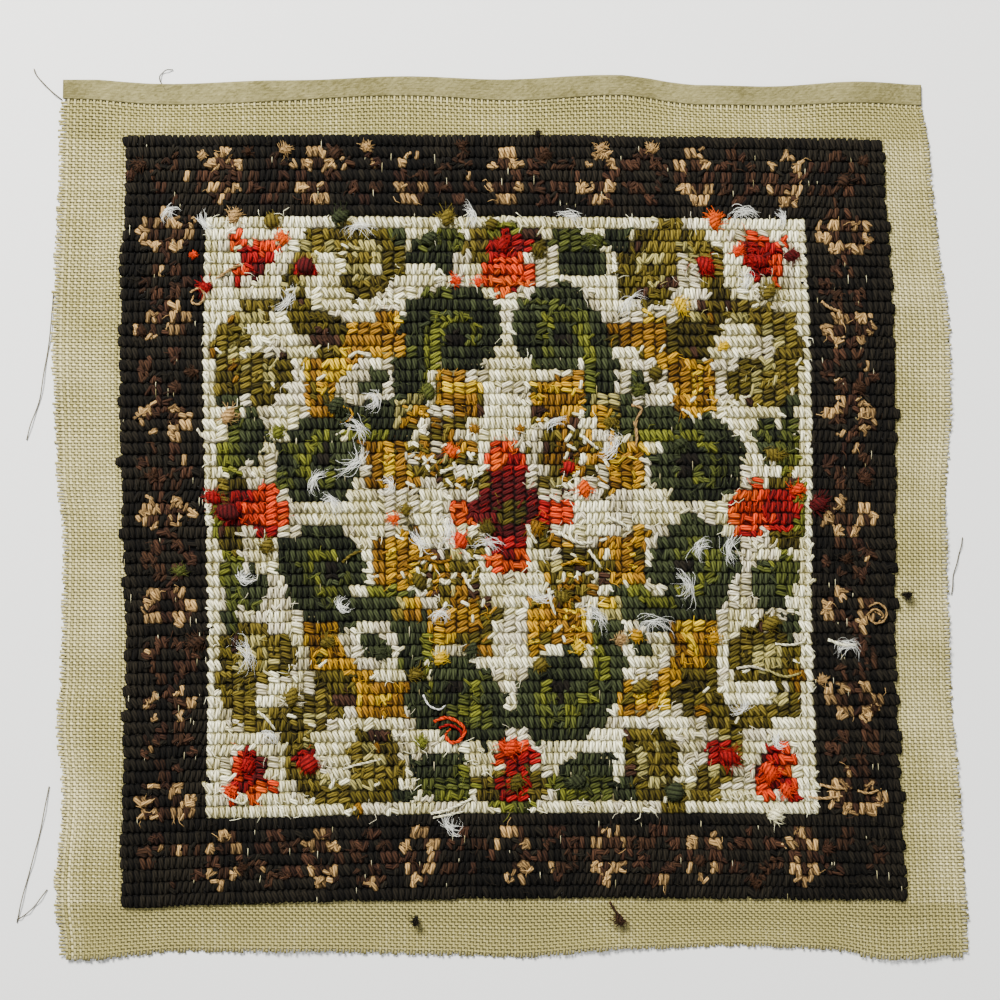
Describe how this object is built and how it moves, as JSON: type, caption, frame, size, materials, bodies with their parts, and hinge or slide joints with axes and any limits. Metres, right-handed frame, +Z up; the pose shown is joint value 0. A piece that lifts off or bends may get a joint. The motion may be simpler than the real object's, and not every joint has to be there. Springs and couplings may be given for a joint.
{
  "type": "needlepoint canvas panel",
  "caption": "Square needlepoint panel for a cushion or seat, wrong side up: scroll medallion on an ivory field, dark floret border, bare canvas margins with frayed edges.",
  "frame": {"origin": "middle of the panel's box, on the surface it lies on", "axes": "+X to the picture's right, along the ropes of stitches; +Y to the picture's top, towards the selvedge; +Z up, out of the wrong side of the work"},
  "size_m": [0.3876, 0.3766, 0.0048],
  "materials": {
    "canvas": "stiff unbleached cotton canvas, matt",
    "field_wool": "two-ply tapestry wool, ivory with scrolls, leaves and flowers",
    "border_wool": "two-ply tapestry wool, brown-black with brown and tan florets",
    "right_side_wool": "two-ply tapestry wool, the right side of the same stitches"
  },
  "bodies": {
    "root": {"canvas": "canvas", "field_stitching": "field_wool", "border_top": "border_wool", "border_bottom": "border_wool", "border_left": "border_wool", "border_right": "border_wool", "right_side_stitching": "right_side_wool"}
  },
  "joints": []
}
